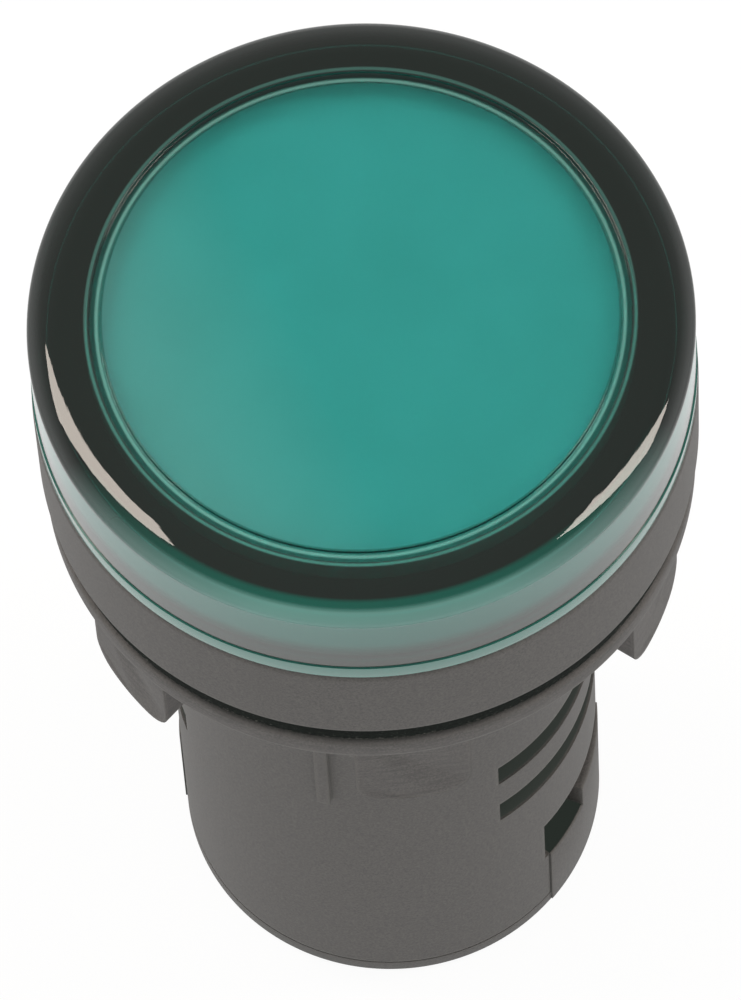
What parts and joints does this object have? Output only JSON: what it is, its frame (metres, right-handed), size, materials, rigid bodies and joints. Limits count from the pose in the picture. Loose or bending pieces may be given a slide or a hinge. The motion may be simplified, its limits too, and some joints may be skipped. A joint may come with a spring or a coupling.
{
  "type": "panel pilot light",
  "caption": "Round panel pilot light: green lens in a grey bezel, sealing gasket, lugged lock nut and a slotted cylindrical body with rear screw terminals.",
  "frame": {"origin": "on the lamp's axis, where the gasket's underside meets the front of the panel", "axes": "+Z along the lamp's axis towards the lens; +X to the middle of one group of vents and one terminal"},
  "size_m": [0.0293, 0.0292, 0.0513],
  "materials": {
    "lens_green": "glossy transparent green moulded polycarbonate",
    "diffuser_white": "milky white moulded sheet",
    "housing_grey": "fine grained moulded polyamide",
    "gasket_rubber": "moulded nitrile rubber",
    "nut_grey": "fine grained moulded polyamide",
    "circuit_board": "glass fibre laminate with solder mask",
    "led_resin": "clear cast resin",
    "capacitor_case": "boxed film capacitor",
    "capacitor_sleeve": "shrunk sleeve",
    "component_black": "moulded epoxy",
    "resistor_body": "lacquered ceramic",
    "tinned_pin": "tinned post",
    "terminal_brass": "stamped",
    "terminal_steel": "zinc plated"
  },
  "bodies": {
    "housing": {"housing": "housing_grey", "lens_cap": "lens_green", "panel_gasket": "gasket_rubber", "diffuser_disc": "diffuser_white", "led_board": "circuit_board", "led_1": "led_resin", "led_2": "led_resin", "led_3": "led_resin", "led_4": "led_resin", "led_5": "led_resin", "led_6": "led_resin", "power_board": "circuit_board", "board_pin_1": "tinned_pin", "board_pin_2": "tinned_pin", "dropper_capacitor": "capacitor_case", "smoothing_capacitor": "capacitor_sleeve", "bridge_rectifier": "component_black", "resistor_1": "resistor_body", "resistor_2": "resistor_body", "terminal_block": "housing_grey", "terminal_plate_1": "terminal_brass", "terminal_plate_2": "terminal_brass"},
    "nut": {"lock_nut": "nut_grey"},
    "cover": {"terminal_cover": "housing_grey"},
    "clamp_1": {"clamp_washer_1": "terminal_steel"},
    "screw_1": {"terminal_screw_1": "terminal_steel"},
    "clamp_2": {"clamp_washer_2": "terminal_steel"},
    "screw_2": {"terminal_screw_2": "terminal_steel"}
  },
  "joints": [
    {"name": "nut_travel", "type": "slide", "parent": "housing", "child": "nut", "axis": [0, 0, -1], "range_m": [0, 0.0081]},
    {"name": "cover_pull", "type": "slide", "parent": "housing", "child": "cover", "axis": [0, 0, -1], "range_m": [0, 0.012]},
    {"name": "clamp_1_lift", "type": "slide", "parent": "housing", "child": "clamp_1", "axis": [0, 0, -1], "range_m": [0, 0.0012]},
    {"name": "screw_1_turn", "type": "hinge", "parent": "clamp_1", "child": "screw_1", "pos_m": [0.0044, 0, -0.03045], "axis": [0, 0, -1], "range_deg": [0, 864]},
    {"name": "clamp_2_lift", "type": "slide", "parent": "housing", "child": "clamp_2", "axis": [0, 0, -1], "range_m": [0, 0.0012]},
    {"name": "screw_2_turn", "type": "hinge", "parent": "clamp_2", "child": "screw_2", "pos_m": [-0.0044, 0, -0.03045], "axis": [0, 0, -1], "range_deg": [0, 864]}
  ],
  "couplings": [
    {"joint": "screw_1_turn", "follows": "clamp_1_lift", "rad_per_m": 12566},
    {"joint": "screw_2_turn", "follows": "clamp_2_lift", "rad_per_m": 12566}
  ]
}
